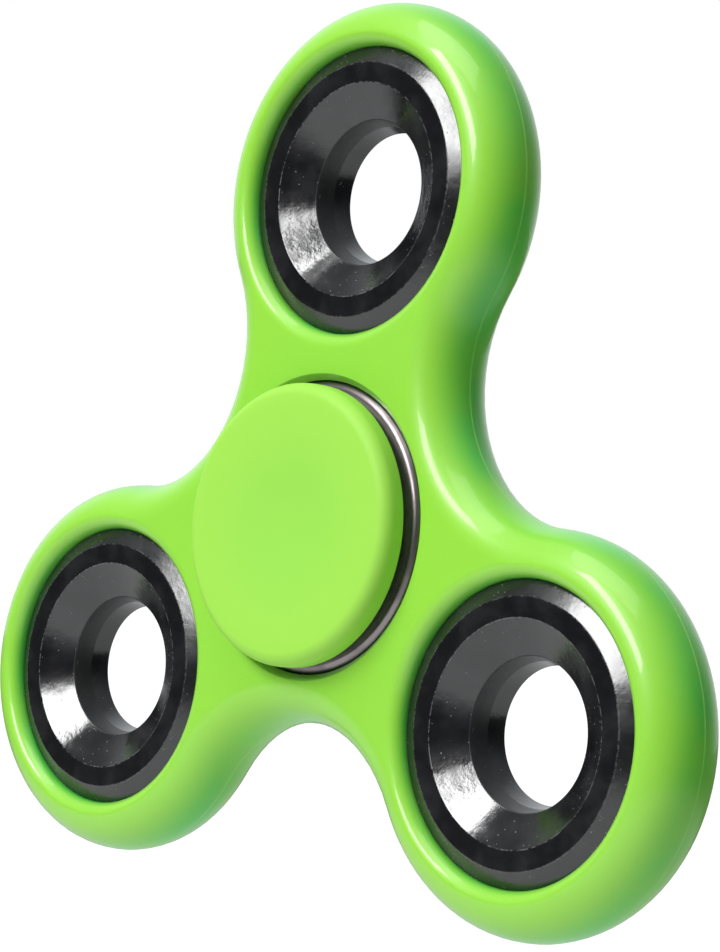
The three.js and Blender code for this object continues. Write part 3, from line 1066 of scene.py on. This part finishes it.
# painted light: the pool's glow and its pale colour, fading to a painted dark floor beyond it
PAINTED_POOL_GLOW = 0.2
LIGHT_POOL_INNER = 0.2
LIGHT_POOL_OUTER = 0.4
PAINTED_LIGHT_POOL_COLOUR = (0.6, 0.6, 0.6, 1)
FAR_FLOOR_PAINTED_SHADE = (0.05, 0.05, 0.05, 1)
WHITE = (1, 1, 1, 1)
ROOM_TINT = (0.92, 0.97, 1.0, 1)
ROOM_BASE = 0.04
ROOM_OVERHEAD = 0.3
ROOM_BEHIND = 0.9
KEY_LIGHT = {
    "direction": (-0.105, -0.84, 0.535),
    "long_axis": (-0.50, 0.29, 0.41),
    "distance": 0.62,
    "size": (0.42, 0.15),
    "radiance": 15.0,
}
TOP_LIGHT = {
    "direction": (-0.05, -0.35, 0.93),
    "long_axis": (1, 0, 0),
    "distance": 0.6,
    "size": (0.45, 0.35),
    "radiance": 2.6,
}


def make_floor():
    """White where the camera sees it; for other rays a painted pool of light under the spinner, fading to a
    painted dark floor beyond, and the pool glows to light the spinner from below.
    """
    select_nothing()
    bpy.ops.mesh.primitive_plane_add(size=FLOOR_SIZE, location=(0, 0, FLOOR_HEIGHT))
    floor = bpy.context.active_object
    floor.name = "floor"
    material, tree, surface = start_material("pale floor", Roughness=0.9)
    surface.inputs["Emission Color"].default_value = WHITE
    position = add_node(tree, "TexCoord", {}).outputs["Object"]
    parts = add_node(tree, "SeparateXYZ", {"Vector": position})
    across = calculate(tree, "MULTIPLY", parts.outputs["X"], parts.outputs["X"])
    both = calculate(
        tree, "MULTIPLY_ADD", parts.outputs["Y"], parts.outputs["Y"], across
    )
    # painted light: a pale pool under the spinner that fades to a dark floor
    painted_light_pool = fade(tree, calculate(tree, "SQRT", both), LIGHT_POOL_OUTER, LIGHT_POOL_INNER)
    colour = mix_colour(tree, painted_light_pool, FAR_FLOOR_PAINTED_SHADE, PAINTED_LIGHT_POOL_COLOUR)
    tree.links.new(colour, surface.inputs["Base Color"])
    seen = add_node(tree, "LightPath", {}).outputs["Is Camera Ray"]
    # painted light: the pool glows for other rays, though the floor is no lamp; the camera sees it evenly
    # white
    glow = calculate(tree, "MAXIMUM", seen, calculate(tree, "MULTIPLY", painted_light_pool, PAINTED_POOL_GLOW))
    tree.links.new(glow, surface.inputs["Emission Strength"])
    floor.data.materials.append(material)


def rotation_of(z_axis, near_x):
    """The rotation that turns local Z to z_axis, with local X as near to near_x as it can be."""
    z = Vector(z_axis).normalized()
    y = z.cross(Vector(near_x)).normalized()
    return Matrix((y.cross(z), y, z)).transposed().to_euler()


def add_softbox(name, setup):
    """A soft rectangular light that faces the spinner."""
    light = bpy.data.lights.new(name, "AREA")
    light.shape = "RECTANGLE"
    light.size, light.size_y = setup["size"]
    light.energy = setup["radiance"] * math.pi * light.size * light.size_y
    lamp = bpy.data.objects.new(name, light)
    bpy.context.scene.collection.objects.link(lamp)
    lamp.location = Vector(setup["direction"]).normalized() * setup["distance"]
    lamp.rotation_euler = rotation_of(setup["direction"], setup["long_axis"])


def make_world():
    """White where it is seen, and a dim studio room where it lights the spinner."""
    world = bpy.data.worlds.new("studio")
    bpy.context.scene.world = world
    world.use_nodes = True
    tree = world.node_tree
    tree.nodes.clear()
    direction = add_node(tree, "TexCoord", {}).outputs["Generated"]
    parts = add_node(tree, "SeparateXYZ", {"Vector": direction})
    overhead = fade(tree, parts.outputs["Z"], 0.1, 0.9)
    leftward = calculate(tree, "SUBTRACT", parts.outputs["Y"], parts.outputs["X"])
    behind = fade(tree, leftward, 0.3, 1.3)
    room = calculate(tree, "MULTIPLY_ADD", overhead, ROOM_OVERHEAD, ROOM_BASE)
    room = calculate(tree, "MULTIPLY_ADD", behind, ROOM_BEHIND, room)
    room_light = add_node(tree, "Background", {"Color": ROOM_TINT, "Strength": room})
    white = add_node(tree, "Background", {"Color": WHITE, "Strength": 1.0})
    seen = add_node(tree, "LightPath", {}).outputs["Is Camera Ray"]
    mix = tree.nodes.new("ShaderNodeMixShader")
    tree.links.new(seen, mix.inputs[0])
    tree.links.new(room_light.outputs[0], mix.inputs[1])
    tree.links.new(white.outputs[0], mix.inputs[2])
    output = tree.nodes.new("ShaderNodeOutputWorld")
    tree.links.new(mix.outputs[0], output.inputs["Surface"])


# ---- Camera ----

CAMERA_PLACE = Vector((0.17055, -0.16843, -0.00025))
CAMERA_LOOK = Vector((-0.7093, 0.7047, 0.0186))
CAMERA_RIGHT = Vector((0.7017, 0.7037, 0.1137))
CAMERA_LENS = 120.6
SENSOR_WIDTH = 36.0


def add_camera():
    data = bpy.data.cameras.new("camera")
    data.lens = CAMERA_LENS
    data.sensor_width = SENSOR_WIDTH
    data.clip_start = 0.01
    camera = bpy.data.objects.new("camera", data)
    bpy.context.scene.collection.objects.link(camera)
    camera.location = CAMERA_PLACE
    camera.rotation_euler = rotation_of(-CAMERA_LOOK, CAMERA_RIGHT)
    bpy.context.scene.camera = camera


# ---- Assembly ----

make_frame()
make_weights()
make_outer_race()
make_inner_race()
make_balls()
make_cages()
make_shields()
make_clips()
make_caps()

make_floor()
make_world()
add_softbox("key", KEY_LIGHT)
add_softbox("top", TOP_LIGHT)
add_camera()
bpy.context.scene.view_settings.view_transform = "Standard"

select_nothing()
